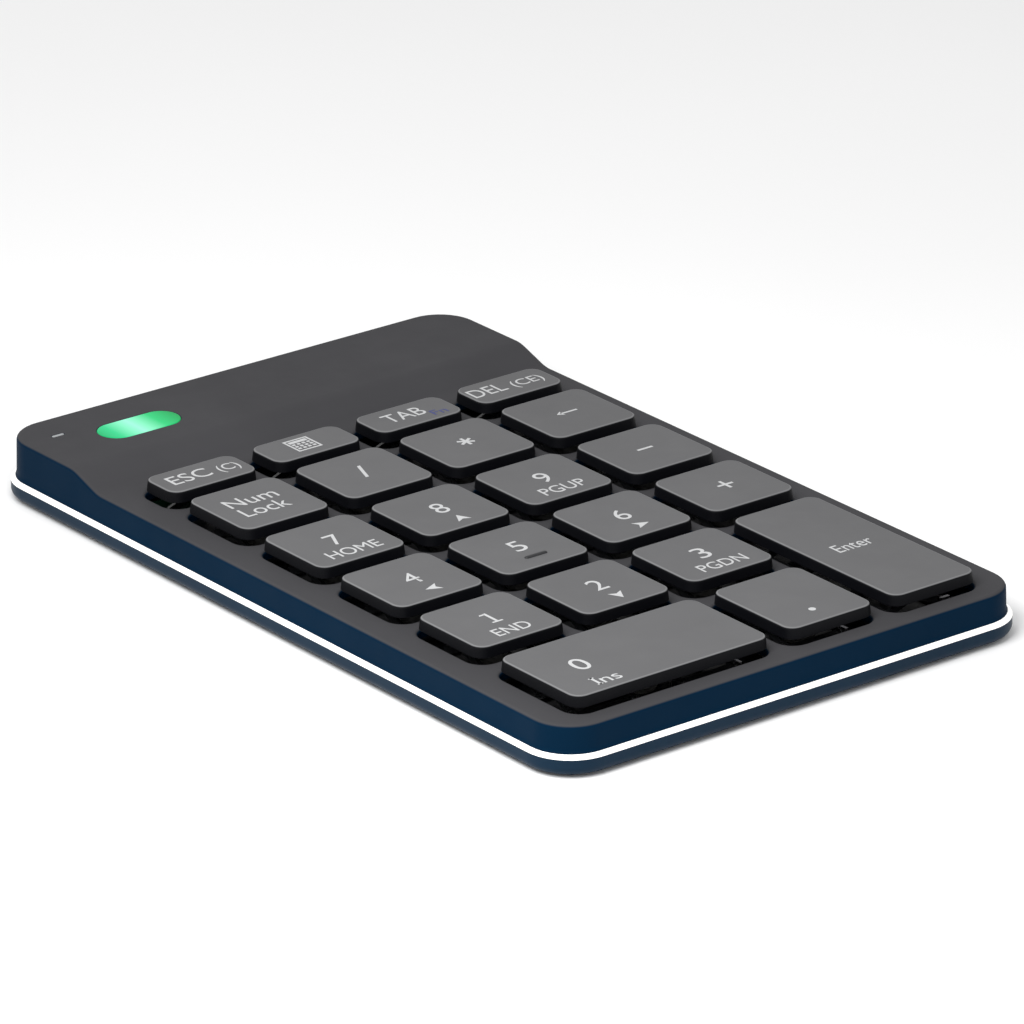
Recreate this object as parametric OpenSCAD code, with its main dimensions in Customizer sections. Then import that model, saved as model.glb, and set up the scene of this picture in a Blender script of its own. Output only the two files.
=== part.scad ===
// Slim wireless numeric keypad: scissor-lever keys on a metal plate, in a low two-part case.
// Millimetres. X to the right, Y to the rear, Z up. The origin is the middle of the footprint,
// on the surface that the feet stand on.

/* [Case] */
// Width of the case at its rim
case_w = 85.6; // [85.4:0.1:90]
// Depth of the case at its rim
case_d = 135.6; // [135.4:0.1:139]
// Corner radius of the case at its rim
case_r = 7.4; // [7:0.1:9]
// Thickness of the plastic walls
wall = 1.5; // [1.4:0.05:1.6]
// Height of the rubber feet below the bottom cover
foot_h = 0.4; // [0.4:0.1:1]
// Height of the key deck above the bottom of the case
deck_h = 7.2; // [7.2:0.1:7.6]
// Height of the raised rear section above the key deck
step_h = 2.1; // [2.1:0.05:3]
// Height of the bottom cover's wall, up to the bright edge
base_h = 2.5; // [2.4:0.05:2.6]
// Height of the bright edge
edge_h = 0.6; // [0.55:0.05:0.65]
// How far the bright edge stands out from the housing above it
edge_w = 0.7; // [0.65:0.05:0.75]

/* [Keys] */
// Distance between key columns
pitch_x = 19; // [19:0.05:19.1]
// Distance between key rows
pitch_y = 18.1; // [18:0.05:18.2]
// Width of a single key at its top
key_w = 15.6; // [15.5:0.1:15.8]
// Depth of a standard key at its top
key_d = 14.8; // [14.8:0.1:15]
// Depth of the function keys in the rear row at their top
short_d = 7.8; // [7.8:0.1:8]
// Depth of the keys in the front row at their top
front_d = 17.6; // [17:0.1:17.7]
// Height of the key tops above the key deck
key_rise = 2.4; // [2.3:0.05:2.5]
// Height of a keycap from its skirt to its top
cap_h = 1.7; // [1.6:0.05:1.9]
// How far a key travels
travel = 1.8; // [1.4:0.1:1.9]
// Gap between a keycap's skirt and its well
well_gap = 0.3; // [0.25:0.05:0.35]

/* [Scissor levers] */
// Length of a lever between its two pins
lever_l = 10; // [9.8:0.1:10.2]
// Radius of the lever pins
pin_r = 0.3; // [0.25:0.05:0.3]
// Radial clearance of a pin in its hole
pin_gap = 0.07; // [0.05:0.01:0.08]

/* [Hidden] */
$fn = 48;
eps = 0.02;

// Keys: name, column, row, columns wide, rows tall. Row 0 is the rear row, row 5 the front one.
KEYS = [
    ["escape", 0, 0, 1, 1], ["calculator", 1, 0, 1, 1], ["tab", 2, 0, 1, 1], ["delete", 3, 0, 1, 1],
    ["num_lock", 0, 1, 1, 1], ["divide", 1, 1, 1, 1], ["multiply", 2, 1, 1, 1], ["backspace", 3, 1, 1, 1],
    ["7", 0, 2, 1, 1], ["8", 1, 2, 1, 1], ["9", 2, 2, 1, 1], ["minus", 3, 2, 1, 1],
    ["4", 0, 3, 1, 1], ["5", 1, 3, 1, 1], ["6", 2, 3, 1, 1], ["plus", 3, 3, 1, 1],
    ["1", 0, 4, 1, 1], ["2", 1, 4, 1, 1], ["3", 2, 4, 1, 1], ["enter", 3, 4, 1, 2],
    ["0", 0, 5, 2, 1], ["point", 2, 5, 1, 1]
];

// Heights
base_z = foot_h;
floor_z = base_z + 1;
seam_z = base_z + base_h;
shell_z = seam_z + edge_h;
deck_z = base_z + deck_h;
roof_z = deck_z + step_h;
key_top_z = deck_z + key_rise;
skirt_z = key_top_z - cap_h;

// Case outline
shell_w = case_w - 2 * edge_w;
shell_d = case_d - 2 * edge_w;
shell_r = case_r - edge_w;
draft = 0.3;
base_round = 1.3;
ramp_foot_y = 42;
ramp_top_y = 48.2;

// Key rows: front edge of each row's key tops, and the depth of the row
row_gap = pitch_y - key_d;
front_y = -62.9;
row4_y = front_y + front_d + row_gap + 0.5;
function row_front(row) = row == 5 ? front_y : row == 0 ? row_front(1) + pitch_y - 0.45
                                             : row4_y + (4 - row) * pitch_y;
function row_depth(row) = row == 5 ? front_d : row == 0 ? short_d : key_d;

// Keycaps
cap_taper = 0.15;
cap_wall = 0.8;
cap_top = 0.9;
cap_r = 2.1;
well_r = cap_r + well_gap + 0.3;
key_left = -2 * pitch_x + (pitch_x - key_w) / 2;
function top_w(k) = key_w + (k[3] - 1) * pitch_x;
function top_d(k) = k[4] == 1 ? row_depth(k[2]) : row_front(k[2]) + row_depth(k[2]) - row_front(k[2] + 1);
function key_x(k) = key_left + k[1] * pitch_x + top_w(k) / 2;
function key_y(k) = row_front(k[2] + k[4] - 1) + top_d(k) / 2;
function is_short(k) = k[2] == 0;

// Plate, membrane and levers
plate_z = base_z + 3.1;
plate_t = 0.4;
sheet_z = plate_z + plate_t;
sheet_t = 0.3;
top_z = sheet_z + sheet_t;
plate_w = 74;
plate_front = -63.5;
plate_rear = 42;
low_pin_z = top_z + 0.75;
high_pin_z = key_top_z - cap_top - 0.75;
lift = high_pin_z - low_pin_z;
rest_tilt = asin(lift / lever_l);
span = lever_l * cos(rest_tilt);
arm_h = 1.1;
arm_t = 0.5;
arm_gap = 0.25;
hook_t = 0.5;
hook_gap = 0.1;
function dome_r(k) = is_short(k) ? 1 : 3.2;
function inner_half(k) = is_short(k) ? 1.7 : 4.3;
function outer_half(k) = inner_half(k) + arm_gap + arm_t;
// Standard and front-row keys tilt about X, short keys and the tall key about Y
function lever_turn(k) = is_short(k) || k[4] == 2 ? 90 : 0;
// Wide and tall keys have two levers side by side
function lever_places(k) = k[3] == 2 || k[4] == 2 ? [-9.2, 9.2] : [0];

// Fasteners, ports and feet
screw_x = 39;
screw_ys = [-59.5, -4, 53];
boss_r = 1.55;
boss_z = floor_z + 1;
board_z = 3.9;
board_t = 0.8;
port_w = 8.94;
port_h = 3.26;
port_z = board_z + board_t + port_h / 2;
port_y = 66.4;
port_l = 7.3;
switch_x = 22;
switch_travel = 3;
window_c = [-23.9, 56.4];
window_size = [14, 6.2];
lens_c = [-35.8, 60.3];
lens_size = [2.2, 0.7];
foot_size = [18, 5];
screw_r = 0.7;
screw_l = 4;
thread_gap = 0.05;
head_r = 1.4;
head_h = 0.7;
head_z = base_z + 0.1;
lip_t = 0.8;
lip_gap = 0.12;
rib_x = 18.3;
rib_t = 1.2;
post_r = 1.6;
post_xs = [-33, 33];
post_ys = [47, 61];
board_w = 73;
board_front = 44.5;
board_rear = 64.3;
led_size = [3, 3, 0.7];
battery_size = [34, 76];
battery_y = -8;
knob_w = 2.6;
knob_h = 1.4;

module place_levers(k) {
    translate([key_x(k), key_y(k), 0])
        rotate([0, 0, lever_turn(k)])
            for (at = lever_places(k)) translate([at, 0, 0]) children();
}

// A block with four round upright edges
module round_block(size, r) {
    linear_extrude(size.z) round_rect([size.x, size.y], r);
}

module round_rect(size, r) {
    square([size.x - 2 * r, size.y], center = true);
    square([size.x, size.y - 2 * r], center = true);
    for (x = [-1, 1], y = [-1, 1])
        translate([x * (size.x / 2 - r), y * (size.y / 2 - r)]) circle(r);
}

// A block whose sides lean in by lean: the corners are cones that stand on the same circles
module tapered_block(size, r, lean) {
    x = size.x / 2;
    y = size.y / 2;
    inner = [x - r, y - r];
    rotate([90, 0, 0])
        linear_extrude(2 * inner.y, center = true)
            polygon([[-x, 0], [x, 0], [x - lean, size.z], [lean - x, size.z]]);
    rotate([90, 0, 90])
        linear_extrude(2 * inner.x, center = true)
            polygon([[-y, 0], [y, 0], [y - lean, size.z], [lean - y, size.z]]);
    for (sx = [-1, 1], sy = [-1, 1])
        translate([sx * inner.x, sy * inner.y, 0]) cylinder(h = size.z, r1 = r, r2 = r - lean);
}

// Sweeps a profile round a rounded rectangle. The profile's X is measured out from the centre
// of the corner's circle, and its Y is height.
module sweep_edge(size, r) {
    inner = [size.x / 2 - r, size.y / 2 - r];
    for (turn = [0, 180]) rotate([0, 0, turn]) {
        translate([inner.x, inner.y, 0]) rotate_extrude(angle = 90) children();
        translate([-inner.x, inner.y, 0]) rotate([0, 0, 90]) rotate_extrude(angle = 90) children();
        translate([inner.x, -inner.y, 0])
            rotate([90, 0, 0]) mirror([0, 0, 1]) linear_extrude(2 * inner.y) children();
        translate([-inner.x, inner.y, 0])
            rotate([90, 0, 90]) linear_extrude(2 * inner.x) children();
    }
}

// Side view of the housing: key deck at the front, ramp, raised section at the rear
module side_view(drop, grow) {
    y = case_d / 2;
    polygon([[-y, 0], [y, 0], [y, roof_z - drop], [ramp_top_y + grow, roof_z - drop],
             [ramp_foot_y + grow, deck_z - drop], [-y, deck_z - drop]]);
}

module side_block(drop, grow) {
    rotate([90, 0, 90]) linear_extrude(case_w, center = true) side_view(drop, grow);
}

module screw_places() {
    for (x = [-screw_x, screw_x], y = screw_ys) translate([x, y, 0]) children();
}

module key_wells() {
    for (k = KEYS)
        translate([key_x(k), key_y(k), deck_z - 2 * wall])
            round_block([top_w(k) + 2 * (cap_taper + well_gap),
                         top_d(k) + 2 * (cap_taper + well_gap), 4 * wall], well_r);
}

module slot_y(w, h, l) {
    rotate([90, 0, 0]) linear_extrude(l, center = true) round_rect([w, h], h / 2 - eps);
}

module top_housing() {
    color("#4b4b4d")
    difference() {
        union() {
            difference() {
                intersection() {
                    translate([0, 0, shell_z])
                        tapered_block([shell_w, shell_d, roof_z - shell_z], shell_r, draft);
                    side_block(0, 0);
                }
                intersection() {
                    translate([0, 0, shell_z - eps])
                        tapered_block([shell_w - 2 * wall, shell_d - 2 * wall, roof_z - shell_z],
                                      shell_r - wall, draft);
                    side_block(wall, wall / 2);
                }
            }
            // Screw bosses, up to the deck or the raised roof
            for (x = [-screw_x, screw_x], y = screw_ys)
                translate([x, y, boss_z])
                    cylinder(h = (y > ramp_top_y ? roof_z : deck_z) - wall / 2 - boss_z, r = boss_r);
        }
        key_wells();
        screw_places() translate([0, 0, floor_z]) cylinder(h = screw_l + 0.2, r = screw_r + thread_gap);
        // Light window, status lens, charging inlet and power switch
        translate([window_c.x, window_c.y, roof_z - 2 * wall])
            round_block([window_size.x, window_size.y, 4 * wall], window_size.y / 2 - eps);
        translate([lens_c.x, lens_c.y, roof_z - 2 * wall])
            round_block([lens_size.x, lens_size.y, 4 * wall], lens_size.y / 2 - eps);
        translate([0, case_d / 2, port_z]) slot_y(port_w + 0.4, port_h + 0.4, 8);
        translate([switch_x, case_d / 2, port_z]) slot_y(knob_w + switch_travel + 0.8, knob_h + 0.8, 8);
    }
}

module bottom_cover() {
    lip_z = shell_z + 0.6;
    lip_out = wall + lip_gap;
    pocket = 2 * (lip_out + lip_t);
    color("#15161a")
    difference() {
        union() {
            difference() {
                union() {
                    translate([0, 0, base_z])
                        sweep_edge([case_w, case_d], case_r) base_profile();
                    translate([0, 0, base_z])
                        linear_extrude(base_h)
                            square([case_w - 2 * case_r, case_d - 2 * case_r], center = true);
                }
                translate([0, 0, floor_z])
                    round_block([shell_w - pocket, shell_d - pocket, base_h],
                                shell_r - lip_out - lip_t);
            }
            // Lip that locates the housing
            difference() {
                translate([0, 0, floor_z])
                    round_block([shell_w - 2 * lip_out, shell_d - 2 * lip_out, lip_z - floor_z],
                                shell_r - lip_out);
                translate([0, 0, floor_z - eps])
                    round_block([shell_w - pocket, shell_d - pocket, deck_h],
                                shell_r - lip_out - lip_t);
                screw_places() cylinder(h = deck_z, r = boss_r + 0.15);
            }
            screw_places() translate([0, 0, base_z + 0.3]) cylinder(h = 1.7, r = 2);
            // Ribs that carry the key plate, and posts that carry the circuit board
            for (x = [-rib_x, rib_x])
                translate([x - rib_t / 2, plate_front + 1, floor_z - eps])
                    cube([rib_t, plate_rear - plate_front - 3, plate_z - floor_z + eps]);
            for (x = post_xs, y = post_ys)
                translate([x, y, floor_z - eps])
                    cylinder(h = board_z - floor_z + eps, r = post_r);
        }
        screw_places() {
            cylinder(h = head_z + head_h, r = head_r + 0.2);
            cylinder(h = deck_z, r = screw_r + 3 * thread_gap);
        }
        foot_places() round_block([foot_size.x + 0.2, foot_size.y + 0.2, base_z + 0.3],
                                  foot_size.y / 2);
    }
}

// Section of the bottom cover: round lower edge, upright rim
module base_profile() {
    intersection() {
        square([case_r, base_h]);
        union() {
            square([case_r - base_round, base_h]);
            translate([0, base_round]) square([case_r, base_h]);
            translate([case_r - base_round, base_round]) circle(base_round);
        }
    }
}

module edge_trim() {
    color("#f4f4f2")
    translate([0, 0, seam_z])
        sweep_edge([case_w, case_d], case_r)
            polygon([[shell_r - 0.9, 0], [case_r, 0], [case_r, 0.1],
                     [shell_r + 0.1, edge_h - eps], [shell_r - 0.9, edge_h - eps]]);
}

module foot_places() {
    for (x = [-26, 26], y = [-58, 58]) translate([x, y, 0]) children();
}

module rubber_feet() {
    color("#222222")
    foot_places() round_block([foot_size.x, foot_size.y, base_z + 0.3], foot_size.y / 2 - 0.1);
}

module case_screws() {
    color("#8a8c90")
    screw_places() {
        translate([0, 0, head_z]) difference() {
            cylinder(h = head_h, r = head_r);
            translate([0, 0, -eps]) cylinder(h = head_h / 2, r = head_r / 2, $fn = 6);
        }
        translate([0, 0, head_z + head_h - eps]) cylinder(h = screw_l, r = screw_r);
    }
}

// Two hooks with round holes, in which the outer lever's lower pins turn
module plate_hooks(k) {
    side = outer_half(k) + hook_gap;
    for (s = [-1, 1]) scale([s, 1, 1]) {
        difference() {
            translate([side, -span / 2 - 0.8, sheet_z - eps])
                cube([hook_t, 1.6, low_pin_z - sheet_z + 0.75]);
            translate([side - 1, -span / 2, low_pin_z])
                rotate([0, 90, 0]) cylinder(h = 3, r = pin_r + pin_gap);
        }
    }
}

module key_plate() {
    color("#9a9da1") {
        translate([-plate_w / 2, plate_front, plate_z])
            cube([plate_w, plate_rear - plate_front, plate_t]);
        for (k = KEYS) place_levers(k) plate_hooks(k);
    }
}

module membrane() {
    color("#2b2f33")
    union() {
        translate([0, 0, sheet_z]) linear_extrude(sheet_t)
            difference() {
                translate([-plate_w / 2 + 0.5, plate_front + 0.5])
                    square([plate_w - 1, plate_rear - plate_front - 1]);
                for (k = KEYS) place_levers(k)
                    for (s = [-1, 1])
                        translate([s * (outer_half(k) + hook_gap + hook_t / 2), -span / 2])
                            square([hook_t + 0.4, 2], center = true);
            }
        // Tail that rises to the circuit board
        rotate([90, 0, 90]) linear_extrude(12, center = true)
            polygon([[plate_rear - 0.6, sheet_z], [plate_rear + 0.4, sheet_z],
                     [43.4, board_z - 0.3], [47, board_z - 0.3], [47, board_z - 0.05],
                     [43.6, board_z - 0.05], [plate_rear + 0.6, top_z], [plate_rear - 0.6, top_z]]);
    }
}

module rubber_domes() {
    color("#d8d8d2")
    for (k = KEYS)
        translate([key_x(k), key_y(k), top_z + eps]) dome(dome_r(k));
}

module dome(r) {
    h = high_pin_z - 0.25 - top_z;
    rotate_extrude()
        polygon([[0.45 * r, 0], [r, 0], [r, 0.25], [0.82 * r, 0.35], [0.55 * r, h - 0.5],
                 [0.5 * r, h], [0, h], [0, h - 0.5], [0.3 * r, h - 0.7], [0.6 * r, 0.3]]);
}

// One ring-shaped lever lying along Y from its lower pin at the origin. The pins stick out
// sideways at both ends.
module lever_ring(half, pin_out) {
    for (s = [-1, 1]) scale([s, 1, 1]) {
        translate([half - arm_t, 0, -arm_h / 2]) cube([arm_t, lever_l, arm_h]);
        for (y = [0, lever_l]) translate([half - arm_t, y, 0]) rotate([0, 90, 0]) {
            cylinder(h = arm_t, r = arm_h / 2);
            cylinder(h = arm_t + pin_out, r = pin_r);
        }
    }
    for (y = [0, lever_l])
        translate([arm_t - half - eps, y - 0.4, -0.35]) cube([2 * (half - arm_t + eps), 0.8, 0.7]);
}

module lever(k) {
    half = outer_half(k);
    color("#e8e8e4")
    place_levers(k)
        translate([0, -span / 2, low_pin_z]) rotate([rest_tilt, 0, 0])
            difference() {
                lever_ring(half, hook_gap + hook_t);
                translate([-half - 1, lever_l / 2, 0])
                    rotate([0, 90, 0]) cylinder(h = 2 * half + 2, r = pin_r + pin_gap);
            }
}

module inner_levers() {
    color("#dededa")
    for (k = KEYS) place_levers(k)
        translate([0, span / 2, low_pin_z]) rotate([180 - rest_tilt, 0, 0]) {
            lever_ring(inner_half(k), 0);
            for (s = [-1, 1])
                translate([s * inner_half(k), lever_l / 2, 0]) rotate([0, s * 90, 0])
                    cylinder(h = arm_gap + arm_t - 0.1, r = pin_r);
        }
}

module keycap(k) {
    w = top_w(k) + 2 * cap_taper;
    d = top_d(k) + 2 * cap_taper;
    bevel = 0.25;
    color("#6f7072")
    translate([key_x(k), key_y(k), skirt_z]) {
        difference() {
            union() {
                tapered_block([w, d, cap_h - bevel], cap_r, cap_taper);
                translate([0, 0, cap_h - bevel])
                    tapered_block([w - 2 * cap_taper, d - 2 * cap_taper, bevel],
                                  cap_r - cap_taper, bevel);
            }
            translate([0, 0, -eps])
                tapered_block([w - 2 * cap_wall, d - 2 * cap_wall, cap_h - cap_top + eps],
                              cap_r - cap_wall, cap_taper);
        }
        // Plunger over the dome, and the slotted clips that hold the outer lever's pins
        plunger_h = key_top_z - cap_top - high_pin_z + 0.1;
        translate([0, 0, cap_h - cap_top - plunger_h])
            cylinder(h = plunger_h + eps, r = dome_r(k) * 0.4);
        rotate([0, 0, lever_turn(k)])
            for (at = lever_places(k), s = [-1, 1])
                translate([at + s * (outer_half(k) + hook_gap + hook_t / 2), span / 2 + 0.3,
                           high_pin_z - skirt_z])
                    difference() {
                        translate([-hook_t / 2, -1.3, -0.7])
                            cube([hook_t, 2.6, 0.7 + key_top_z - cap_top - high_pin_z + eps]);
                        translate([-1, -0.9, -pin_r - 0.12]) cube([2, 1.8, 2 * pin_r + 0.24]);
                    }
    }
}

module circuit_board() {
    color("#1f5a3a")
    translate([0, 0, board_z]) {
        translate([-board_w / 2, board_front, 0])
            cube([board_w, board_rear - board_front, board_t]);
        translate([-12, 49, board_t - eps]) cube([6, 6, 0.9]);
        translate([8, 48, board_t - eps]) cube([11, 8, 1.4]);
        for (x = [-3.5, 3.5])
            translate([window_c.x + x - led_size.x / 2, window_c.y - led_size.y / 2, board_t - eps])
                cube(led_size);
    }
}

module battery() {
    color("#b9bcc2")
    translate([0, battery_y, floor_z + 0.05])
        round_block([battery_size.x, battery_size.y, plate_z - floor_z - 0.2], 1);
}

module usb_c_port() {
    color("#b4b6ba")
    translate([0, port_y - port_l / 2, port_z]) {
        difference() {
            slot_y(port_w, port_h, port_l);
            translate([0, 1, 0]) slot_y(port_w - 0.6, port_h - 0.6, port_l);
        }
        translate([-3.35, -port_l / 2 + 0.5, -0.35]) cube([6.7, 5.5, 0.7]);
    }
}

module switch_housing() {
    color("#3a3c40")
    translate([switch_x, 0, board_z + board_t]) difference() {
        translate([-4.3, 61.2, 0]) cube([8.6, 3.4, 3.1]);
        translate([-3.5, 62.4, 0.7]) cube([7, 3, 1.8]);
    }
}

module switch_slider() {
    color("#17181a")
    translate([switch_x - switch_travel / 2, 0, port_z]) {
        translate([-1.7, 62.6, -knob_h / 2]) cube([3.4, 1.7, knob_h]);
        translate([-knob_w / 2, 64, -knob_h / 2]) cube([knob_w, 3.4, knob_h]);
    }
}

module light_window() {
    color("#38e08a")
    translate([window_c.x, window_c.y, roof_z - wall - 0.6]) {
        round_block([window_size.x - 0.1, window_size.y - 0.1, wall + 0.6],
                    window_size.y / 2 - 0.05 - eps);
        round_block([window_size.x + 1.6, window_size.y + 1.6, 0.55],
                    window_size.y / 2 + 0.7);
    }
}

module status_lens() {
    color("#e6e6e6")
    translate([lens_c.x, lens_c.y, roof_z - wall - 0.6]) {
        round_block([lens_size.x - 0.06, lens_size.y - 0.06, wall + 0.6],
                    lens_size.y / 2 - 0.03 - eps);
        round_block([lens_size.x + 0.8, lens_size.y + 0.8, 0.55], lens_size.y / 2 + 0.3);
    }
}

top_housing();
bottom_cover();
edge_trim();
key_plate();
membrane();
rubber_domes();
inner_levers();
circuit_board();
battery();
usb_c_port();
switch_housing();
switch_slider();
case_screws();
rubber_feet();
light_window();
status_lens();
for (k = KEYS) keycap(k);
for (k = KEYS) lever(k);
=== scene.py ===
import math

import bmesh
import bpy
from mathutils import Matrix, Vector
from mathutils.geometry import delaunay_2d_cdt


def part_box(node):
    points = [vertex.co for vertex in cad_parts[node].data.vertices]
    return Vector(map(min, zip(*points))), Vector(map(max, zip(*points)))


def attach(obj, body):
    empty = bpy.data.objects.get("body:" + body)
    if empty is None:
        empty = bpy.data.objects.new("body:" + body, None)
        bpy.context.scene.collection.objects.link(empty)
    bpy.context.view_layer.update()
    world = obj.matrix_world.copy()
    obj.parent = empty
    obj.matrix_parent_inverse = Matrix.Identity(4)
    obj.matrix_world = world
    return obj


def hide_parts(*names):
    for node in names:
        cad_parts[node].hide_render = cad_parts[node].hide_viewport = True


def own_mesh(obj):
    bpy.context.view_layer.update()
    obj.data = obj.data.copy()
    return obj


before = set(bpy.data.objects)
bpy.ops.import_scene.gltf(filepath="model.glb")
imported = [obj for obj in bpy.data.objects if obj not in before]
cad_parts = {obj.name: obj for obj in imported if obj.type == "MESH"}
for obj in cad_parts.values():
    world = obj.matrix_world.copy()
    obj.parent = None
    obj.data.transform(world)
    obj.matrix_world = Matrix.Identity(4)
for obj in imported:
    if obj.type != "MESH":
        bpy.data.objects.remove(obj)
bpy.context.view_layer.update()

MM = 0.001

# ---------------------------------------------------------------- camera

AZ, EL = math.radians(-38.17), math.radians(22.35)
TARGET = Vector((-2.04, -5.17, 10.0)) * MM
DISTANCE = 1.1065
LENS_MM, SENSOR_MM = 270.4, 36


def add_camera():
    """Aims the camera at TARGET from azimuth AZ and elevation EL."""
    back = Vector((math.sin(AZ) * math.cos(EL), -math.cos(AZ) * math.cos(EL), math.sin(EL)))
    right = Vector((math.cos(AZ), math.sin(AZ), 0))
    up = back.cross(right)
    data = bpy.data.cameras.new("camera")
    data.lens = LENS_MM
    data.sensor_width = SENSOR_MM
    data.clip_start = 0.05
    data.clip_end = 20
    cam = bpy.data.objects.new("camera", data)
    turn = Matrix((right, up, back)).transposed().to_4x4()
    cam.matrix_world = Matrix.Translation(TARGET + back * DISTANCE) @ turn
    bpy.context.scene.collection.objects.link(cam)
    bpy.context.scene.camera = cam


add_camera()

# ---------------------------------------------------------------- sizes, in millimetres


def box_mm(node_name):
    """A CAD node's lowest and highest corners."""
    lo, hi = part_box(node_name)
    return Vector(lo) / MM, Vector(hi) / MM


KEY_NAMES = [n[len("keycap_"):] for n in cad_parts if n.startswith("keycap_")]
SHORT_KEYS = ("escape", "calculator", "tab", "delete")
HOUSING_HI = box_mm("top_housing")[1]
KEY_TOP = box_mm("keycap_5")[1].z
CAP_H = 1.7
SKIRT = KEY_TOP - CAP_H

# The housing
ROOF = HOUSING_HI.z
STEP = 2.1
DECK = ROOF - STEP
SHELL_Z = box_mm("edge_trim")[1].z
HALF_W, HALF_D = HOUSING_HI.x, HOUSING_HI.y
CORNER = 6.7
WALL = 1.5
INNER_SET = 0.3
EDGE_R = 0.65
RAMP_FOOT, RAMP_TOP = 42.0, 48.2
BEND = 1.1
WELL_GAP, WELL_R, WELL_EDGE_R = 0.3, 2.7, 0.55
WINDOW_HALF, LENS_HALF, LIGHT_EDGE_R = (7.0, 3.1), (1.1, 0.35), 0.12
PORT_OPENING, SWITCH_OPENING = (9.34, 3.66), (6.4, 2.2)
PORT_X, SWITCH_X = 0, 22
CUT_LENGTH = 7

# The scissor levers and domes under the keys
MEMBRANE_TOP = box_mm("rubber_domes")[0].z
LEVER = 10.0
LOW_PIN = MEMBRANE_TOP + 0.73
HIGH_PIN = KEY_TOP - 1.65
MID_PIN = (LOW_PIN + HIGH_PIN) / 2
SPAN = math.sqrt(LEVER ** 2 - (HIGH_PIN - LOW_PIN) ** 2)
INNER_HALF, INNER_HALF_SHORT = 4.3, 1.7
PAIR_PLACES = (-9.2, 9.2)
MID_PIN_R, CROSS_R = 0.3, 0.36
DOME_R, DOME_R_SHORT = 3.2, 1.0

# Segments in each corner or circle
CORNER_SEG, CASE_SEG, LENS_SEG, RIDGE_SEG, SLOT_SEG, DOME_SEG = 7, 10, 10, 5, 8, 24

# ---------------------------------------------------------------- mesh helpers


def shade_smooth(mesh, degrees):
    """Smooth shading, with sharp edges over an angle."""
    mesh.polygons.foreach_set("use_smooth", [True] * len(mesh.polygons))
    mesh.set_sharp_from_angle(angle=math.radians(degrees))


def weight_normals(obj):
    mod = obj.modifiers.new("weighted_normal", "WEIGHTED_NORMAL")
    mod.keep_sharp = True
    mod.weight = 80


def new_object(name, verts, faces, mat, smooth_angle=35, weighted=False):
    """An object from points in millimetres."""
    mesh = bpy.data.meshes.new(name)
    mesh.from_pydata([tuple(c * MM for c in v) for v in verts], [], faces)
    mesh.validate()
    mesh.update()
    mesh.materials.append(mat)
    shade_smooth(mesh, smooth_angle)
    obj = bpy.data.objects.new(name, mesh)
    bpy.context.scene.collection.objects.link(obj)
    if weighted:
        weight_normals(obj)
    return obj


def rounded(half_x, half_y, r, stops=(), seg=CORNER_SEG, centre=(0, 0)):
    """Points of a rounded rectangle, anticlockwise from the right side, with extra points where
    its left and right sides pass the given values of y."""
    r = max(min(r, half_x - 1e-4, half_y - 1e-4), 1e-4)
    cx, cy = centre
    points = []
    for i, (sx, sy) in enumerate(((1, 1), (-1, 1), (-1, -1), (1, -1))):
        for j in range(seg + 1):
            a = math.pi / 2 * (i + j / seg)
            points.append((cx + sx * (half_x - r) + r * math.cos(a),
                           cy + sy * (half_y - r) + r * math.sin(a)))
        if i == 1:
            points += [(cx - half_x, y) for y in sorted(stops, reverse=True)]
        if i == 3:
            points += [(cx + half_x, y) for y in sorted(stops)]
    return points


class Shell:
    """Collects vertices and faces, in millimetres."""

    def __init__(self):
        self.verts, self.faces = [], []

    def ring(self, points, z):
        """Adds points at height z, a number or a function of y, and returns their numbers."""
        at = len(self.verts)
        for x, y in points:
            self.verts.append((x, y, z(y) if callable(z) else z))
        return list(range(at, at + len(points)))

    def skin(self, a, b):
        """Joins two rings with a band of faces."""
        n = len(a)
        for i in range(n):
            j = (i + 1) % n
            self.faces.append((a[i], a[j], b[j], b[i]))

    def cap(self, ring, up=True):
        """Closes a ring with one face."""
        self.faces.append(tuple(ring) if up else tuple(reversed(ring)))

    def stack(self, layers):
        """A closed solid from (outline, height) layers, lowest first."""
        rings = [self.ring(points, z) for points, z in layers]
        for a, b in zip(rings, rings[1:]):
            self.skin(a, b)
        self.cap(rings[-1])
        self.cap(rings[0], up=False)

    def sheet(self, outer, holes, lines, z, up=True):
        """Fills between an outer ring and the hole rings. Each line is a value of y at which an
        edge runs from side to side."""
        ids = list(outer) + [i for h in holes for i in h]
        flat = [Vector(self.verts[i][:2]) for i in ids]
        edges = []
        at = 0
        for loop in [outer] + holes:
            n = len(loop)
            edges += [(at + i, at + (i + 1) % n) for i in range(n)]
            at += n
        for y in lines:
            ends = []
            for side in (-1, 1):
                near = [i for i, p in enumerate(flat[:len(outer)])
                        if abs(p.y - y) < 1e-4 and p.x * side > 0]
                ends.append(near[0])
            edges.append(tuple(ends))
        pts, _, tris, orig, _, _ = delaunay_2d_cdt(flat, edges, [], 0, 1e-6, True)
        index = []
        for p, o in zip(pts, orig):
            if o:
                index.append(ids[o[0]])
            else:
                index.append(len(self.verts))
                self.verts.append((p.x, p.y, z(p.y) if callable(z) else z))
        rings = [[Vector(self.verts[i][:2])[:] for i in loop] for loop in [outer] + holes]
        for t in tris:
            c = sum((pts[i] for i in t), Vector((0, 0))) / 3
            if not inside(c, rings[0]) or any(inside(c, r) for r in rings[1:]):
                continue
            area = (pts[t[1]] - pts[t[0]]).cross(pts[t[2]] - pts[t[0]])
            tri = [index[i] for i in t]
            self.faces.append(tuple(tri if (area > 0) == up else reversed(tri)))


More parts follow.
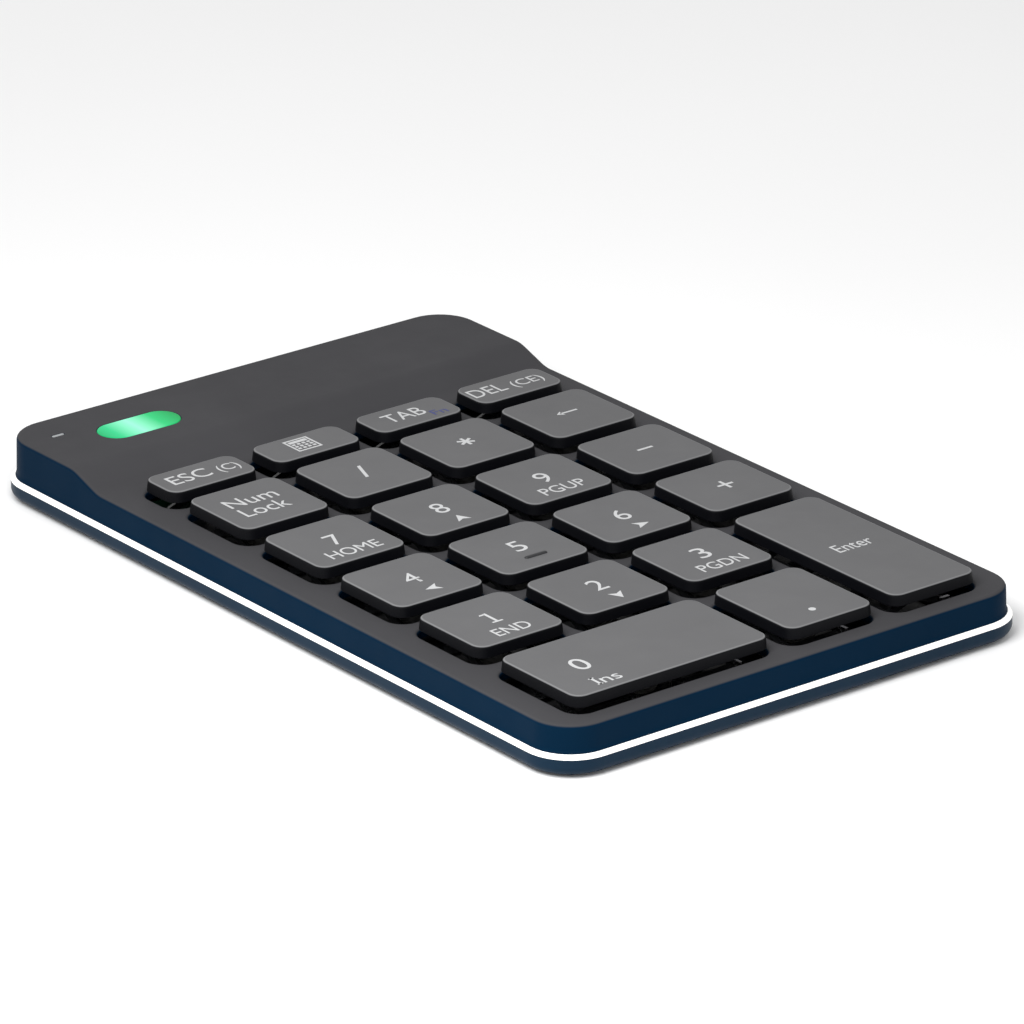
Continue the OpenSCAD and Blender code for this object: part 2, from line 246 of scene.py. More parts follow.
def inside(p, ring):
    """Whether a point lies within a closed outline."""
    hit = False
    n = len(ring)
    for i in range(n):
        (x1, y1), (x2, y2) = ring[i], ring[(i + 1) % n]
        if (y1 > p[1]) != (y2 > p[1]) and p[0] < (x2 - x1) * (p[1] - y1) / (y2 - y1) + x1:
            hit = not hit
    return hit


def fillet(r, n):
    """(inset, drop) pairs round a convex edge of radius r, from the side up to the top."""
    return [(r * (1 - math.cos(math.radians(a))), r * (1 - math.sin(math.radians(a))))
            for a in [90 * i / n for i in range(n + 1)]]


# ---------------------------------------------------------------- materials


def material(name):
    """A new material, its node tree and its shader."""
    mat = bpy.data.materials.new(name)
    mat.use_nodes = True
    tree = mat.node_tree
    return mat, tree, tree.nodes["Principled BSDF"]


def node(tree, kind, **values):
    """Adds a node, with values for its sockets or its properties."""
    n = tree.nodes.new(kind)
    for key, value in values.items():
        if key in n.inputs:
            n.inputs[key].default_value = value
        else:
            setattr(n, key, value)
    return n


def noise(tree, scale, detail=2.0, rough=0.5):
    """Noise in object coordinates."""
    coords = node(tree, "ShaderNodeTexCoord")
    tex = node(tree, "ShaderNodeTexNoise", Scale=scale, Detail=detail, Roughness=rough)
    tree.links.new(coords.outputs["Object"], tex.inputs["Vector"])
    return tex


def ramp(tree, source, stops):
    """A colour ramp of (position, colour) stops."""
    r = node(tree, "ShaderNodeValToRGB")
    elements = r.color_ramp.elements
    while len(elements) < len(stops):
        elements.new(0.5)
    for e, (at, colour) in zip(elements, stops):
        e.position = at
        e.color = (*colour, 1)
    tree.links.new(source, r.inputs["Fac"])
    return r


def grey(v):
    return (v, v, v)


def spread(tree, source, colour, vary):
    """A ramp from a little darker to a little lighter than the colour."""
    low = tuple(c * (1 - vary) for c in colour)
    high = tuple(min(c * (1 + vary), 1) for c in colour)
    return ramp(tree, source, [(0.3, low), (0.7, high)]).outputs["Color"]


def add_grain(tree, bsdf, scale, height):
    """Fine moulded or painted texture."""
    tex = noise(tree, scale, 3.0, 0.6)
    bump = node(tree, "ShaderNodeBump", Strength=height, Distance=0.00004)
    tree.links.new(tex.outputs["Fac"], bump.inputs["Height"])
    tree.links.new(bump.outputs["Normal"], bsdf.inputs["Normal"])


def plastic(name, top, side=None, rough=0.5, vary=0.12, grain=9000, height=0.25, edge=None,
            edges=(0.35, 0.8), specular=0.4):
    """Moulded plastic. With side, faces that look sideways take that colour, a painted shade, and
    with edge, the round edge between them takes that lighter colour, a painted highlight."""
    mat, tree, bsdf = material(name)
    blot = noise(tree, 55, 3.0)
    colour = spread(tree, blot.outputs["Fac"], top, vary)
    if side:
        # Painted shade: faces that look sideways take the side colour, the upward top keeps the
        # lit colour
        geo = node(tree, "ShaderNodeNewGeometry")
        split = node(tree, "ShaderNodeSeparateXYZ")
        tree.links.new(geo.outputs["Normal"], split.inputs["Vector"])
        faces_up = node(tree, "ShaderNodeMapRange", interpolation_type="SMOOTHSTEP")
        faces_up.inputs["From Min"].default_value = edges[0]
        faces_up.inputs["From Max"].default_value = edges[1]
        tree.links.new(split.outputs["Z"], faces_up.inputs["Value"])
        mix = node(tree, "ShaderNodeMix", data_type="RGBA")
        tree.links.new(faces_up.outputs["Result"], mix.inputs[0])
        tree.links.new(spread(tree, blot.outputs["Fac"], side, vary), mix.inputs[6])
        tree.links.new(colour, mix.inputs[7])
        colour = mix.outputs[2]
        if edge:
            # Painted highlight: a lighter band where the round edge turns from the side to the top
            painted_highlight_mask = ramp(tree, split.outputs["Z"], [(edges[0], grey(0)), (edges[1], grey(1)),
                                                  (0.985, grey(1)), (1.0, grey(0))])
            painted_highlight_mix = node(tree, "ShaderNodeMix", data_type="RGBA")
            tree.links.new(painted_highlight_mask.outputs["Color"], painted_highlight_mix.inputs[0])
            tree.links.new(colour, painted_highlight_mix.inputs[6])
            painted_highlight_mix.inputs[7].default_value = (*edge, 1)
            colour = painted_highlight_mix.outputs[2]
    tree.links.new(colour, bsdf.inputs["Base Color"])
    gloss = noise(tree, 160, 4.0)
    patchy = ramp(tree, gloss.outputs["Fac"],
                  [(0.3, grey(rough - 0.05)), (0.7, grey(rough + 0.05))])
    tree.links.new(patchy.outputs["Color"], bsdf.inputs["Roughness"])
    bsdf.inputs["Specular IOR Level"].default_value = specular
    add_grain(tree, bsdf, grain, height)
    return mat


def metal(name, colour, rough=0.35, stretch=(1, 1, 1), vary=0.1):
    """Bare metal, brushed along the axes with the least stretch."""
    mat, tree, bsdf = material(name)
    coords = node(tree, "ShaderNodeTexCoord")
    squeeze = node(tree, "ShaderNodeMapping")
    squeeze.inputs["Scale"].default_value = stretch
    tex = node(tree, "ShaderNodeTexNoise", Scale=900.0, Detail=3.0)
    tree.links.new(coords.outputs["Object"], squeeze.inputs["Vector"])
    tree.links.new(squeeze.outputs["Vector"], tex.inputs["Vector"])
    tree.links.new(spread(tree, tex.outputs["Fac"], colour, vary), bsdf.inputs["Base Color"])
    patchy = ramp(tree, tex.outputs["Fac"],
                  [(0.2, grey(rough - 0.08)), (0.8, grey(rough + 0.08))])
    tree.links.new(patchy.outputs["Color"], bsdf.inputs["Roughness"])
    bsdf.inputs["Metallic"].default_value = 1.0
    return mat


CHARCOAL = (0.051, 0.0505, 0.054)
PAINTED_SIDE_SHADE = (0.0005, 0.0125, 0.032)
# The housing's sideways faces take a deep navy: painted shade with a blue cast, darker than the
# charcoal top
HOUSING = plastic("housing_paint", CHARCOAL, PAINTED_SIDE_SHADE, rough=0.55, vary=0.05, grain=7000, height=0.3,
                  edges=(0.45, 0.85), specular=0.03)
BASE = plastic("base_paint", (0.0025, 0.017, 0.037), rough=0.45, vary=0.06, grain=7000, height=0.2,
               specular=0.12)
# The caps' sideways faces are near black, a painted shade, and their round upper edge is a lighter
# grey, a painted highlight
KEYCAP = plastic("keycap_paint", (0.108, 0.108, 0.111), (0.002, 0.0022, 0.0034), rough=0.5,
                 vary=0.04, grain=11000, height=0.16, edge=(0.165, 0.166, 0.17),
                 edges=(0.6, 0.82), specular=0.12)
LEVER_MAT = plastic("lever_plastic", (0.02, 0.021, 0.023), rough=0.3, vary=0.1, grain=3000,
                    height=0.08)
RUBBER = plastic("foot_rubber", (0.02, 0.02, 0.021), rough=0.8, vary=0.2, grain=3500, height=0.5)
PIN_MAT = plastic("pin_plastic", (0.8, 0.8, 0.78), rough=0.25, vary=0.04, grain=3000, height=0.05)
DOME = plastic("dome_silicone", (0.12, 0.12, 0.115), rough=0.5, vary=0.08, grain=3000)
SWITCH = plastic("switch_plastic", (0.02, 0.021, 0.024), rough=0.45, vary=0.1)
FILM = plastic("membrane_film", (0.006, 0.0065, 0.008), rough=0.35, vary=0.2, height=0.05,
               specular=0.2)
BOARD = plastic("board_mask", (0.012, 0.085, 0.04), rough=0.3, vary=0.15, height=0.1)
STEEL = metal("plate_steel", (0.42, 0.42, 0.44), 0.4, (1, 14, 1))
ZINC = metal("screw_zinc", (0.5, 0.5, 0.53), 0.3)
NICKEL = metal("port_nickel", (0.62, 0.61, 0.6), 0.26, (10, 1, 1))
FOIL = metal("battery_foil", (0.66, 0.67, 0.69), 0.3, vary=0.05)


def bright_edge():
    """The white line round the case: a painted highlight standing in for the light's reflection on
    the rim, made to glow a little.
    """
    mat, tree, bsdf = material("bright_edge")
    tex = noise(tree, 400, 2.0)
    white = ramp(tree, tex.outputs["Fac"],
                 [(0.3, (0.9, 0.89, 0.87)), (0.7, (0.96, 0.955, 0.94))])
    tree.links.new(white.outputs["Color"], bsdf.inputs["Base Color"])
    bsdf.inputs["Roughness"].default_value = 0.22
    # The glow is part of the painted highlight, not a lamp
    bsdf.inputs["Emission Color"].default_value = (1, 0.985, 0.96, 1)
    bsdf.inputs["Emission Strength"].default_value = 0.35
    return mat


def ink(name, colour):
    """Printed ink, slightly uneven."""
    mat, tree, bsdf = material(name)
    tex = noise(tree, 2500, 2.0)
    low = tuple(c * 0.93 for c in colour)
    uneven = ramp(tree, tex.outputs["Fac"], [(0.35, low), (0.65, colour)])
    tree.links.new(uneven.outputs["Color"], bsdf.inputs["Base Color"])
    bsdf.inputs["Roughness"].default_value = 0.5
    return mat


def light_glass():
    """A lit window that runs from mint in the middle to green at its ends."""
    mat, tree, bsdf = material("light_window")
    lo, hi = box_mm("light_window")
    coords = node(tree, "ShaderNodeTexCoord")
    split = node(tree, "ShaderNodeSeparateXYZ")
    tree.links.new(coords.outputs["Object"], split.inputs["Vector"])
    along = node(tree, "ShaderNodeMapRange")
    along.inputs["From Min"].default_value = lo.x * MM
    along.inputs["From Max"].default_value = hi.x * MM
    tree.links.new(split.outputs["X"], along.inputs["Value"])
    glow = ramp(tree, along.outputs["Result"],
                [(0.0, (0.002, 0.26, 0.08)), (0.2, (0.02, 0.42, 0.17)), (0.45, (0.22, 0.66, 0.45)),
                 (0.7, (0.015, 0.4, 0.13)), (1.0, (0.001, 0.2, 0.04))])
    tree.links.new(glow.outputs["Color"], bsdf.inputs["Base Color"])
    tree.links.new(glow.outputs["Color"], bsdf.inputs["Emission Color"])
    bsdf.inputs["Emission Strength"].default_value = 0.45
    bsdf.inputs["Roughness"].default_value = 0.35
    bsdf.inputs["Specular IOR Level"].default_value = 0.1
    return mat


RIM_HIGHLIGHT_PAINT = bright_edge()
WHITE_INK = ink("legend_white", (0.5, 0.505, 0.51))
BLUE_INK = ink("legend_blue", (0.02, 0.03, 0.16))
DARK_INK = ink("legend_dark", (0.012, 0.012, 0.014))
GLOW = light_glass()
LENS = ink("status_lens", (0.3, 0.31, 0.32))

# ---------------------------------------------------------------- materials of the CAD nodes

NODE_MATERIALS = {
    "bottom_cover": BASE, "edge_trim": RIM_HIGHLIGHT_PAINT, "key_plate": STEEL, "membrane": FILM,
    "circuit_board": BOARD, "battery": FOIL, "usb_c_port": NICKEL, "switch_housing": NICKEL,
    "switch_slider": SWITCH, "case_screws": ZINC, "rubber_feet": RUBBER, "top_housing": HOUSING,
    "rubber_domes": DOME, "inner_levers": LEVER_MAT, "light_window": GLOW, "status_lens": LENS,
}
for key in KEY_NAMES:
    NODE_MATERIALS["keycap_" + key] = KEYCAP
    NODE_MATERIALS["lever_" + key] = LEVER_MAT
for name, mat in NODE_MATERIALS.items():
    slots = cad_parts[name].data.materials
    slots.clear()
    slots.append(mat)

# ---------------------------------------------------------------- housing


def surface(y):
    """Height of the housing's upper face: deck, ramp and roof, with soft bends between them."""
    slope = STEP / (RAMP_TOP - RAMP_FOOT)

    def bend(at):
        d = y - at
        if d <= -BEND:
            return 0.0
        if d >= BEND:
            return d
        return (d + BEND) ** 2 / (4 * BEND)

    return DECK + slope * (bend(RAMP_FOOT) - bend(RAMP_TOP))


BENDS = [at + d for at in (RAMP_FOOT, RAMP_TOP) for d in (-BEND, -BEND / 2, 0, BEND / 2, BEND)]


def key_box(key):
    """A key's middle and half sizes."""
    lo, hi = box_mm("keycap_" + key)
    return (lo.x + hi.x) / 2, (lo.y + hi.y) / 2, (hi.x - lo.x) / 2, (hi.y - lo.y) / 2


def build_housing():
    shell = Shell()

    def ring(inset, z):
        return shell.ring(
            rounded(HALF_W - inset, HALF_D - inset, CORNER - inset, BENDS, CASE_SEG), z)

    # Outer side: a small flare over the bright edge, the wall, and the round upper edge
    rings = [ring(0.0, SHELL_Z), ring(0.0, SHELL_Z + 0.12), ring(0.1, SHELL_Z + 0.3),
             ring(0.17, SHELL_Z + 0.55), ring(0.2, SHELL_Z + 0.9)]
    for inset, drop in fillet(EDGE_R, 7):
        rings.append(ring(0.3 + inset, lambda y, d=drop: surface(y) - d))
    for a, b in zip(rings, rings[1:]):
        shell.skin(a, b)

    # Openings: key wells, light window and status lens
    openings = []
    for key in KEY_NAMES:
        x, y, hx, hy = key_box(key)
        openings.append((x, y, hx + WELL_GAP, hy + WELL_GAP, WELL_R, WELL_EDGE_R, DECK))
    for name, (hx, hy) in (("light_window", WINDOW_HALF), ("status_lens", LENS_HALF)):
        lo, hi = box_mm(name)
        openings.append(((lo.x + hi.x) / 2, (lo.y + hi.y) / 2, hx, hy, hy - 0.01,
                         LIGHT_EDGE_R, ROOF))
    tops, bottoms = [], []
    for x, y, hx, hy, r, edge_r, z in openings:
        loops = []
        for out, drop in fillet(edge_r, 4):
            outline = rounded(hx + out, hy + out, r + out, centre=(x, y))
            loops.append(shell.ring(outline, z - drop))
        low = shell.ring(rounded(hx, hy, r, centre=(x, y)), z - WALL)
        for a, b in zip([low] + loops, loops):
            shell.skin(b, a)
        tops.append(loops[-1])
        bottoms.append(low)
    shell.sheet(rings[-1], tops, BENDS, surface)

    # Underside of the roof and the inner side of the wall
    def under(y):
        return surface(y) - WALL

    inset = WALL + INNER_SET
    outline = rounded(HALF_W - inset, HALF_D - inset, CORNER - WALL, BENDS, CASE_SEG)
    ceiling = shell.ring(outline, under)
    inner = shell.ring(outline, SHELL_Z)
    shell.sheet(ceiling, bottoms, BENDS, under, up=False)
    shell.skin(ceiling, inner)
    shell.skin(inner, rings[0])
    return new_object("housing", shell.verts, shell.faces, HOUSING, 40)


def evaluated_mesh(obj):
    """The mesh of an object with its modifiers, or of a text."""
    bpy.context.view_layer.update()
    depsgraph = bpy.context.evaluated_depsgraph_get()
    return bpy.data.meshes.new_from_object(obj.evaluated_get(depsgraph))


def cut(obj, cutter):
    """Takes the cutter out of the object, and deletes the cutter."""
    mod = obj.modifiers.new("cut", "BOOLEAN")
    mod.operation = "DIFFERENCE"
    mod.solver = "EXACT"
    mod.object = cutter
    done = evaluated_mesh(obj)
    obj.modifiers.clear()
    obj.data = done
    bpy.data.objects.remove(cutter)


def rear_cutter(name, x, z, size):
    """A bar along Y through the rear wall, with a capsule section."""
    w, h = size
    shell = Shell()
    outline = rounded(w / 2, h / 2, h / 2 - 0.02, seg=SLOT_SEG)
    at = []
    for side in (CUT_LENGTH / 2, -CUT_LENGTH / 2):
        start = len(shell.verts)
        shell.verts += [(x + px, HALF_D + side, z + pz) for px, pz in outline]
        at.append(list(range(start, start + len(outline))))
    shell.skin(at[0], at[1])
    shell.cap(at[0], up=False)
    shell.cap(at[1])
    return new_object(name, shell.verts, shell.faces, HOUSING)


housing = build_housing()
port_lo, port_hi = box_mm("usb_c_port")
port_z = (port_lo.z + port_hi.z) / 2
cut(housing, rear_cutter("cut_port", PORT_X, port_z, PORT_OPENING))
cut(housing, rear_cutter("cut_switch", SWITCH_X, port_z, SWITCH_OPENING))
shade_smooth(housing.data, 40)
weight_normals(housing)
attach(housing, "case")
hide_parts("top_housing")

# ---------------------------------------------------------------- keycaps

CAP_CORNER, CAP_LEAN, CAP_EDGE_R = 2.1, 0.15, 0.38


def build_keycap(key):
    """A thin cap: walls that lean in a little, a round upper edge, and a hollow underside."""
    x, y, hx, hy = key_box(key)
    shell = Shell()

    def ring(inset, z):
        outline = rounded(hx - inset, hy - inset, CAP_CORNER - inset, centre=(x, y))
        return shell.ring(outline, z)

    body = [ring(0.0, SKIRT)]
    for inset, drop in fillet(CAP_EDGE_R, 6):
        body.append(ring(CAP_LEAN + inset, KEY_TOP - drop))
    for a, b in zip(body, body[1:]):
        shell.skin(a, b)
    shell.cap(body[-1])
    mouth = ring(0.8, SKIRT)
    throat = ring(0.92, KEY_TOP - 1.1)
    ceiling = ring(1.25, KEY_TOP - 0.9)
    shell.skin(mouth, body[0])
    shell.skin(throat, mouth)
    shell.skin(ceiling, throat)
    shell.cap(ceiling, up=False)
    obj = new_object("cap_" + key, shell.verts, shell.faces, KEYCAP, 50, weighted=True)
    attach(obj, "key_" + key)
    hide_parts("keycap_" + key)


for key in KEY_NAMES:
    build_keycap(key)

# ---------------------------------------------------------------- legends

INK_Z = KEY_TOP + 0.004
INK_T = 0.012


def text_mesh(string, resolution):
    """The mesh of a line of text, of size 1."""
    curve = bpy.data.curves.new("text", "FONT")
    curve.body = string
    curve.resolution_u = resolution
    obj = bpy.data.objects.new("text", curve)
    bpy.context.scene.collection.objects.link(obj)
    mesh = evaluated_mesh(obj)
    bpy.data.objects.remove(obj)
    return mesh


def capital_height():
    mesh = text_mesh("H", 12)
    top = max(v.co.y for v in mesh.vertices)
    bpy.data.meshes.remove(mesh)
    return top


CAP_UNIT = capital_height()


def text(string, x, y, cap, width=None):
    """A line of text with its capitals cap high, centred on (x, y)."""
    mesh = text_mesh(string, 5)

    # Points that almost meet would leave slivers
    work = bmesh.new()
    work.from_mesh(mesh)
    bmesh.ops.remove_doubles(work, verts=work.verts, dist=0.002)
    bmesh.ops.dissolve_degenerate(work, edges=work.edges, dist=0.002)
    work.to_mesh(mesh)
    work.free()
    pts = [v.co.copy() for v in mesh.vertices]
    polys = [tuple(p.vertices) for p in mesh.polygons]
    bpy.data.meshes.remove(mesh)
    lo_x, hi_x = min(p.x for p in pts), max(p.x for p in pts)
    scale_y = cap / CAP_UNIT
    scale_x = width / (hi_x - lo_x) if width else scale_y
    return [((p.x - (lo_x + hi_x) / 2) * scale_x + x, (p.y - CAP_UNIT / 2) * scale_y + y)
            for p in pts], polys


def left_text(string, left, y, cap, width):
    """A line of text that starts at left."""
    return text(string, left + width / 2, y, cap, width)


def polygon(points):
    """Shapes are (points, polygons), in millimetres from the middle of their key."""
    return list(points), [tuple(range(len(points)))]


def digit(string, width=2.25):
    """The large digit in the middle of a key."""
    return text(string, 0.1, 0.3, 3.5, width)


def disc(x, y, r, n=20):
    turns = [2 * math.pi * i / n for i in range(n)]
    return polygon([(x + r * math.cos(a), y + r * math.sin(a)) for a in turns])


def bar(x, y, w, h, slant=0.0):
    """A bar whose top leans right by slant, and its foot left by as much."""
    return polygon([(x - w / 2 - slant, y - h / 2), (x + w / 2 - slant, y - h / 2),
                    (x + w / 2 + slant, y + h / 2), (x - w / 2 + slant, y + h / 2)])


def legend(key, name, shapes, mat):
    """Shapes printed on a key's top as thin raised ink."""
    x0, y0, _, _ = key_box(key)
    verts, faces = [], []
    for pts, polys in shapes:
        at = len(verts)
        n = len(pts)
        verts += [(x0 + x, y0 + y, INK_Z) for x, y in pts]
        verts += [(x0 + x, y0 + y, INK_Z + INK_T) for x, y in pts]
        count = {}
        for poly in polys:
            area = sum(pts[a][0] * pts[b][1] - pts[b][0] * pts[a][1]
                       for a, b in zip(poly, poly[1:] + poly[:1]))
            loop = poly if area > 0 else tuple(reversed(poly))
            faces.append(tuple(at + n + i for i in loop))
            faces.append(tuple(at + i for i in reversed(loop)))
            for a, b in zip(loop, loop[1:] + loop[:1]):
                count[(a, b)] = count.get((a, b), 0) + 1
        for a, b in count:
            if (b, a) not in count:
                faces.append((at + a, at + b, at + n + b, at + n + a))
    obj = new_object(name, verts, faces, mat, 30)
    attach(obj, "key_" + key)


def arrow(x, y, w, h, turn):
    """A solid arrowhead with a notched base, pointing along turn in degrees."""
    a = math.radians(turn)
    pts = [(h / 2, 0), (-h / 2, w / 2), (-h / 4, 0), (-h / 2, -w / 2)]
    return polygon([(x + u * math.cos(a) - v * math.sin(a), y + u * math.sin(a) + v * math.cos(a))
                    for u, v in pts])


def star(x, y, r):
    """Six arms of even width as one outline."""
    t = 0.18 * r
    pts = []
    for i in range(6):
        a = math.radians(90 + 60 * i)
        for side in (-t, t):
            pts.append((x + r * math.cos(a) - side * math.sin(a),
                        y + r * math.sin(a) + side * math.cos(a)))
        between = a + math.radians(30)
        pts.append((x + 2 * t * math.cos(between), y + 2 * t * math.sin(between)))
    return polygon(pts)


def calculator_icon(x, y):
    """A frame with a display and four columns of three buttons."""
    w, h, t = 4.3, 4.4, 0.32
    side = h - 2 * t - 0.02
    out = [bar(x, y + h / 2 - t / 2, w, t), bar(x, y - h / 2 + t / 2, w, t),
           bar(x - w / 2 + t / 2, y, t, side), bar(x + w / 2 - t / 2, y, t, side),
           bar(x, y + 1.25, 3.2, 0.75)]
    for i in range(4):
        for j in range(3):
            out.append(bar(x - 1.32 + 0.88 * i, y + 0.35 - 0.78 * j, 0.56, 0.5))
    return out


LEGENDS = {
    "escape": [text("ESC", -2.1, 0.2, 3.0, 7.0), text("(C)", 4.6, -0.1, 2.2, 3.6)],
    "calculator": calculator_icon(-0.5, 0.2),
    "tab": [text("TAB", -0.8, 0.2, 3.0, 7.0)],
    "delete": [text("DEL", -4.0, 0.3, 3.0, 6.2), text("(CE)", 3.2, 0.0, 2.2, 5.6)],
    "num_lock": [left_text("Num", -4.5, 1.9, 3.0, 8.6), left_text("Lock", -4.5, -2.0, 3.0, 8.0)],
    "divide": [bar(0.0, 0.3, 0.55, 4.2, 0.75)],
    "multiply": [star(0, 0.3, 1.35)],
    "backspace": [bar(0.35, 0.3, 3.1, 0.4), arrow(-1.35, 0.3, 1.5, 1.1, 180)],
    "minus": [bar(0.0, 0.0, 2.8, 0.48)],
    "plus": [bar(0.3, 0.0, 2.8, 0.48), bar(0.3, 0.82, 0.48, 1.16), bar(0.3, -0.82, 0.48, 1.16)],
    "7": [digit("7"), text("HOME", 0.2, -4.3, 2.5, 9.0)],
    "8": [digit("8"), arrow(0.4, -4.3, 2.3, 2.2, 90)],
    "9": [digit("9"), text("PGUP", 0.2, -4.3, 2.5, 7.8)],
    "4": [digit("4", 2.35), arrow(0.4, -4.2, 2.1, 2.4, 180)],
    "5": [digit("5")],
    "6": [digit("6"), arrow(0.4, -4.2, 2.1, 2.4, 0)],
    "1": [bar(0.25, 0.5, 0.45, 3.1), bar(-0.35, 1.75, 0.8, 0.38, 0.1), bar(0.25, -1.2, 1.8, 0.34),
          text("END", 0.2, -4.4, 2.4, 6.1)],
    "2": [digit("2"), arrow(0.4, -4.3, 2.3, 2.2, -90)],
    "3": [digit("3"), text("PGDN", 0.2, -4.3, 2.4, 8.2)],
    "0": [text("0", -9.7, 0.0, 3.7, 2.6), text("Ins", -9.7, -5.9, 2.4, 4.2),
          bar(-11.6, -4.82, 0.9, 0.24), bar(-11.6, -6.98, 0.9, 0.24)],
    "point": [disc(-0.6, -4.95, 0.55)],
    "enter": [text("Enter", 0.0, 0.1, 2.6, 6.6)],
}
for key, shapes in LEGENDS.items():
    legend(key, "legend_" + key, shapes, WHITE_INK)
legend("tab", "legend_tab_second", [text("Fn", 4.3, -1.8, 1.8, 2.6)], BLUE_INK)


def ridge():
    """The raised bar that marks the middle key."""
    x0, y0, _, _ = key_box("5")
    shell = Shell()
    shell.stack([(rounded(2.0 - inset, 0.4 - inset, 0.38 - inset, (), RIDGE_SEG,
                          (x0 + 0.2, y0 - 3.9)), KEY_TOP + z)
                 for inset, z in ((0.0, -0.05), (0.04, 0.1), (0.16, 0.2), (0.3, 0.23))])
    obj = new_object("ridge_5", shell.verts, shell.faces, DARK_INK, 50)
    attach(obj, "key_5")


ridge()

# ---------------------------------------------------------------- scissor levers and domes


def bar_between(shell, a, b, x, t, h):
    """A flat bar from a to b in the YZ plane, t wide along X and h high, with round ends."""
    direction = Vector((b[0] - a[0], b[1] - a[1])).normalized()
    across = Vector((-direction.y, direction.x))
    outline = []
    for end, sign in ((b, 1), (a, -1)):
        for i in range(7):
            ang = math.pi * (i / 6 - 0.5)
            p = Vector(end) + sign * (direction * math.cos(ang) + across * math.sin(ang)) * h / 2
            outline.append(p)
    start = len(shell.verts)
    shell.verts += [(x + t / 2, p.x, p.y) for p in outline]
    shell.verts += [(x - t / 2, p.x, p.y) for p in outline]
    n = len(outline)
    left = list(range(start, start + n))
    right = list(range(start + n, start + 2 * n))
    shell.skin(left, right)
    shell.cap(left, up=False)
    shell.cap(right)


def rod_x(shell, lo, hi, y, z, r, n=10):
    """A round rod along X."""
    start = len(shell.verts)
    for x in (lo, hi):
        for i in range(n):
            a = 2 * math.pi * i / n
            shell.verts.append((x, y + r * math.cos(a), z + r * math.sin(a)))
    a = list(range(start, start + n))
    b = list(range(start + n, start + 2 * n))
    shell.skin(a, b)
    shell.cap(a, up=False)
    shell.cap(b)


def place(shell, key):
    """Moves levers built round the origin to their key. Short keys and the tall one have theirs
    a quarter turn round."""
    x, y, _, _ = key_box(key)
    turned = key in SHORT_KEYS or key == "enter"
    shell.verts = [(x - v[1], y + v[0], v[2]) if turned else (x + v[0], y + v[1], v[2])
                   for v in shell.verts]


def flatten(obj, key):
    """Gives a piece a mesh of its own."""
    x, y, _, _ = key_box(key)
    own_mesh(obj)


def inner_half(key):
    """Half the width of an inner lever."""
    return INNER_HALF_SHORT if key in SHORT_KEYS else INNER_HALF


def inner_lever(key, at, number):
    """Two side bars and two cross rods."""
    half = inner_half(key)
    shell = Shell()
    low, high = (SPAN / 2, LOW_PIN), (-SPAN / 2, HIGH_PIN)
    for side in (-1, 1):
        bar_between(shell, high, low, side * (half - 0.25), 0.5, 1.1)
    for py, pz in (low, high):
        rod_x(shell, 0.52 - half, half - 0.52, py, pz, CROSS_R)
    shell.verts = [(v[0] + at, v[1], v[2]) for v in shell.verts]
    place(shell, key)
    obj = new_object("inner_lever_%s_%d" % (key, number), shell.verts, shell.faces, LEVER_MAT, 40)
    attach(obj, "case")
    flatten(obj, key)
    return obj


def middle_pins(key, places):
    """The pins where each pair of levers crosses. They sit in the outer lever and turn with it."""
    half = inner_half(key)
    shell = Shell()
    for at in places:
        for side in (-1, 1):
            ends = sorted((at + side * (half + 0.02), at + side * (half + 0.65)))
            rod_x(shell, *ends, 0, MID_PIN, MID_PIN_R)
    place(shell, key)
    obj = new_object("lever_pins_" + key, shell.verts, shell.faces, PIN_MAT, 40)
    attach(obj, "arm_" + key)


def dome(key):
    """A rubber dome, hollow underneath: (radius, height) pairs up its outer and inner sides."""
    x, y, _, _ = key_box(key)
    r = DOME_R_SHORT if key in SHORT_KEYS else DOME_R
    h = HIGH_PIN - 0.25 - MEMBRANE_TOP
    outer = [(r, 0.0), (r, 0.22), (0.95 * r, 0.3), (0.84 * r, 0.42), (0.76 * r, 1.1),
             (0.68 * r, 2.0), (0.6 * r, h - 0.9), (0.56 * r, h - 0.45), (0.52 * r, h - 0.12),
             (0.45 * r, h)]
    inner = [(0.3 * r, h - 0.55), (0.5 * r, h - 0.95), (0.62 * r, 1.2), (0.7 * r, 0.35),
             (0.72 * r, 0.0)]
    turns = [2 * math.pi * i / DOME_SEG for i in range(DOME_SEG)]
    shell = Shell()
    rings = [shell.ring([(x + rr * math.cos(a), y + rr * math.sin(a)) for a in turns],
                        MEMBRANE_TOP + z) for rr, z in outer + inner]
    outside_rings, inside_rings = rings[:len(outer)], rings[len(outer):]
    for a, b in zip(outside_rings, outside_rings[1:]):
        shell.skin(a, b)
    shell.cap(outside_rings[-1])
    shell.cap(inside_rings[0], up=False)
    for a, b in zip(inside_rings, inside_rings[1:]):
        shell.skin(a, b)
    shell.skin(inside_rings[-1], outside_rings[0])
    obj = new_object("dome_" + key, shell.verts, shell.faces, DOME, 50)
    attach(obj, "case")
    flatten(obj, key)
    return obj


levers, domes = [], []
for key in KEY_NAMES:
    places = PAIR_PLACES if key in ("0", "enter") else (0,)
    for number, at in enumerate(places):
        levers.append(inner_lever(key, at, number))
    middle_pins(key, places)
    domes.append(dome(key))
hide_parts("inner_levers")
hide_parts("rubber_domes")

# ---------------------------------------------------------------- light window and status lens


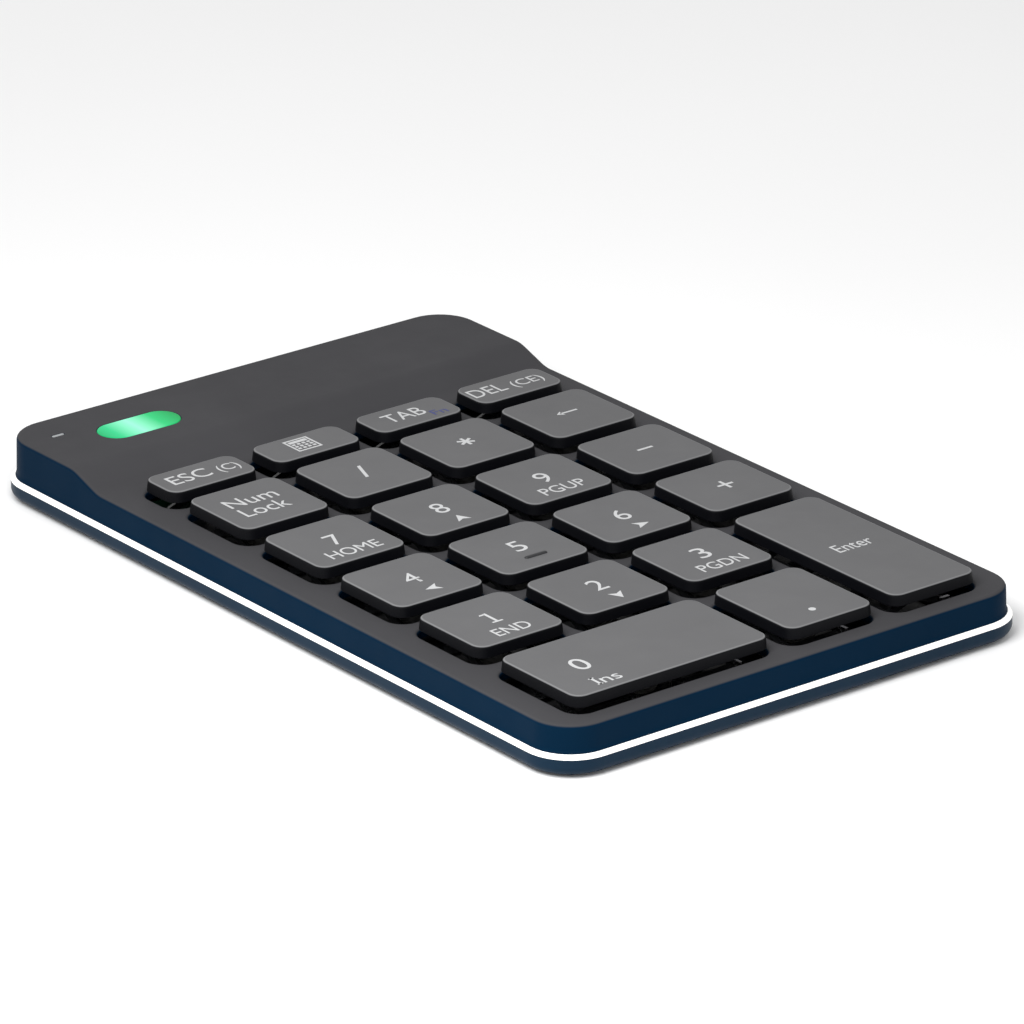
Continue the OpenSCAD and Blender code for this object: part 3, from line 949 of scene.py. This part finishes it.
def lens(name, half, mat, rise):
    """A capsule-shaped plug in the roof, its face raised a hair above the roof."""
    hx, hy = half
    lo, hi = box_mm(name)
    x, y = (lo.x + hi.x) / 2, (lo.y + hi.y) / 2
    shell = Shell()
    shell.stack([(rounded(hx - inset, hy - inset, hy - inset - 0.01, (), LENS_SEG, (x, y)),
                  ROOF + z)
                 for inset, z in ((0.05, -2.1), (0.05, -0.1), (0.1, -0.02), (0.2, rise),
                                  (0.33, rise))])
    obj = new_object(name + "_piece", shell.verts, shell.faces, mat, 50, weighted=True)
    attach(obj, "case")
    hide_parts(name)


lens("light_window", WINDOW_HALF, GLOW, 0.02)
lens("status_lens", LENS_HALF, LENS, 0.01)

# ---------------------------------------------------------------- floor and light

FLOOR_HALF_M = 6


def add_floor():
    mesh = bpy.data.meshes.new("floor")
    s = FLOOR_HALF_M
    mesh.from_pydata([(-s, -s, 0), (s, -s, 0), (s, s, 0), (-s, s, 0)], [], [(0, 1, 2, 3)])
    mat, tree, bsdf = material("floor_white")
    tex = noise(tree, 6, 2.0)
    white = ramp(tree, tex.outputs["Fac"], [(0.3, grey(0.93)), (0.7, grey(0.95))])
    tree.links.new(white.outputs["Color"], bsdf.inputs["Base Color"])
    bsdf.inputs["Roughness"].default_value = 0.9
    mesh.materials.append(mat)
    floor = bpy.data.objects.new("floor", mesh)
    bpy.context.scene.collection.objects.link(floor)


def add_light(name, size, energy, at, aim=(0, 0, 0)):
    """A rectangular lamp, in metres and watts."""
    data = bpy.data.lights.new(name, "AREA")
    data.shape = "RECTANGLE"
    data.size, data.size_y = size
    data.energy = energy
    lamp = bpy.data.objects.new(name, data)
    lamp.location = at
    lamp.rotation_euler = (Vector(aim) - Vector(at)).to_track_quat("-Z", "Y").to_euler()
    bpy.context.scene.collection.objects.link(lamp)


def add_world():
    world = bpy.data.worlds.new("studio")
    world.use_nodes = True
    back = world.node_tree.nodes["Background"]
    back.inputs["Color"].default_value = (1, 1, 1, 1)
    back.inputs["Strength"].default_value = 0.72
    bpy.context.scene.world = world


add_floor()
add_world()
add_light("key_light", (0.16, 0.16), 0.62, (-0.15, -0.1, 0.2), (-0.04, -0.04, 0))
add_light("rear_light", (1.4, 0.8), 4, (-0.2, 1.2, 1.0))
bpy.context.scene.view_settings.view_transform = "Standard"
